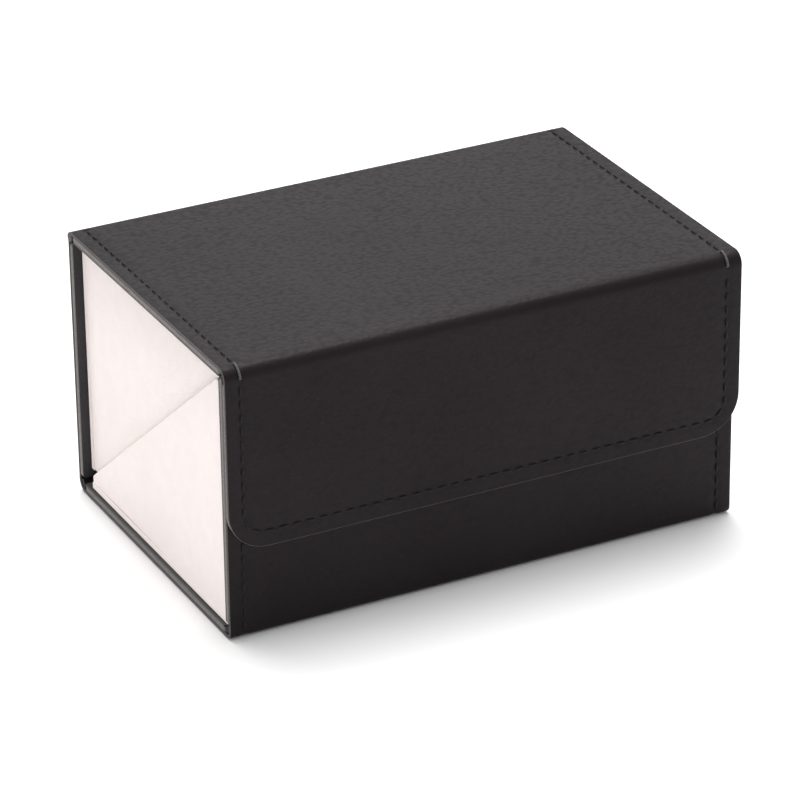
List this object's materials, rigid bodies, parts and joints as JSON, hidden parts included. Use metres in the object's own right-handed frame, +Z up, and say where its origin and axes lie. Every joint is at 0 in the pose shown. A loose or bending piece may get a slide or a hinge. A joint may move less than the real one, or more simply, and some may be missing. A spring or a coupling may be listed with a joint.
{
  "type": "card deck box",
  "caption": "Leather-covered box for trading cards, with a hinged lid, a magnetic front flap and pale triangular end gussets that fold inwards so that the box folds down.",
  "frame": {"origin": "middle of the box's footprint, on the surface that it stands on", "axes": "+X to the right along the box's length, +Y to the back wall, +Z up; the flap closes on the -Y side"},
  "size_m": [0.154, 0.102, 0.08],
  "materials": {
    "leather": "satin grained",
    "suede_lining": "napped",
    "grey_board": "matte",
    "gusset_cloth": "soft matte",
    "gusset_board": "matte",
    "thread": "waxed",
    "magnet_nickel": "plated",
    "keeper_steel": "rolled"
  },
  "bodies": {
    "base": {"base_cover": "leather", "base_board": "grey_board", "base_lining": "suede_lining", "base_thread_left": "thread", "base_thread_right": "thread", "front_fold_leather": "leather", "rear_fold_leather": "leather"},
    "front_wall": {"front_wall_cover": "leather", "front_wall_board": "grey_board", "front_wall_lining": "suede_lining", "front_wall_thread_left": "thread", "front_wall_thread_right": "thread", "keeper_plate_left": "keeper_steel", "keeper_plate_right": "keeper_steel"},
    "back_wall": {"back_wall_cover": "leather", "back_wall_board": "grey_board", "back_wall_lining": "suede_lining", "back_wall_thread_left": "thread", "back_wall_thread_right": "thread"},
    "spine": {"spine_leather": "leather"},
    "lid": {"lid_cover": "leather", "lid_board": "grey_board", "lid_lining": "suede_lining", "lid_thread_left": "thread", "lid_thread_right": "thread", "flap_fold_leather": "leather"},
    "flap": {"flap_cover": "leather", "flap_board": "grey_board", "flap_lining": "suede_lining", "flap_thread": "thread", "magnet_left": "magnet_nickel", "magnet_right": "magnet_nickel"},
    "lower_gusset_left": {"lower_gusset_facing_left": "gusset_cloth", "lower_gusset_board_left": "gusset_board", "lower_gusset_lining_left": "gusset_cloth"},
    "lower_gusset_right": {"lower_gusset_facing_right": "gusset_cloth", "lower_gusset_board_right": "gusset_board", "lower_gusset_lining_right": "gusset_cloth"},
    "upper_gusset_left": {"upper_gusset_facing_left": "gusset_cloth", "upper_gusset_board_left": "gusset_board", "upper_gusset_lining_left": "gusset_cloth"},
    "upper_gusset_right": {"upper_gusset_facing_right": "gusset_cloth", "upper_gusset_board_right": "gusset_board", "upper_gusset_lining_right": "gusset_cloth"}
  },
  "joints": [
    {"name": "back_fold", "type": "hinge", "parent": "base", "child": "back_wall", "pos_m": [0, 0.0465, 0.0046], "axis": [1, 0, 0], "range_deg": [0, 48]},
    {"name": "front_fold", "type": "hinge", "parent": "base", "child": "front_wall", "pos_m": [0, -0.04748, 0.00103], "axis": [1, 0, 0], "range_deg": [0, 48]},
    {"name": "spine_fold", "type": "hinge", "parent": "back_wall", "child": "spine", "pos_m": [0, 0.04997, 0.07898], "axis": [1, 0, 0], "range_deg": [-53, 0]},
    {"name": "lid_hinge", "type": "hinge", "parent": "spine", "child": "lid", "pos_m": [0, 0.0475, 0.08], "axis": [1, 0, 0], "range_deg": [-135, 0]},
    {"name": "flap_hinge", "type": "hinge", "parent": "lid", "child": "flap", "pos_m": [0, -0.04997, 0.07898], "axis": [1, 0, 0], "range_deg": [-110, 0]},
    {"name": "lower_gusset_fold_left", "type": "hinge", "parent": "base", "child": "lower_gusset_left", "pos_m": [-0.0755, 0, 0.0046], "axis": [0, 1, 0], "range_deg": [0, 85]},
    {"name": "upper_gusset_fold_left", "type": "hinge", "parent": "back_wall", "child": "upper_gusset_left", "pos_m": [-0.0737, 0.0465, 0.04], "axis": [0, 0, 1], "range_deg": [0, 85]},
    {"name": "lower_gusset_fold_right", "type": "hinge", "parent": "base", "child": "lower_gusset_right", "pos_m": [0.0755, 0, 0.0046], "axis": [0, -1, 0], "range_deg": [0, 85]},
    {"name": "upper_gusset_fold_right", "type": "hinge", "parent": "back_wall", "child": "upper_gusset_right", "pos_m": [0.0737, 0.0465, 0.04], "axis": [0, 0, -1], "range_deg": [0, 85]}
  ],
  "couplings": [
    {"joint": "front_fold", "follows": "back_fold", "ratio": 1},
    {"joint": "spine_fold", "follows": "back_fold", "ratio": -1.1},
    {"joint": "lower_gusset_fold_left", "follows": "back_fold", "ratio": 1.76},
    {"joint": "upper_gusset_fold_left", "follows": "back_fold", "ratio": 1.76},
    {"joint": "lower_gusset_fold_right", "follows": "back_fold", "ratio": 1.55},
    {"joint": "upper_gusset_fold_right", "follows": "back_fold", "ratio": 1.55}
  ]
}
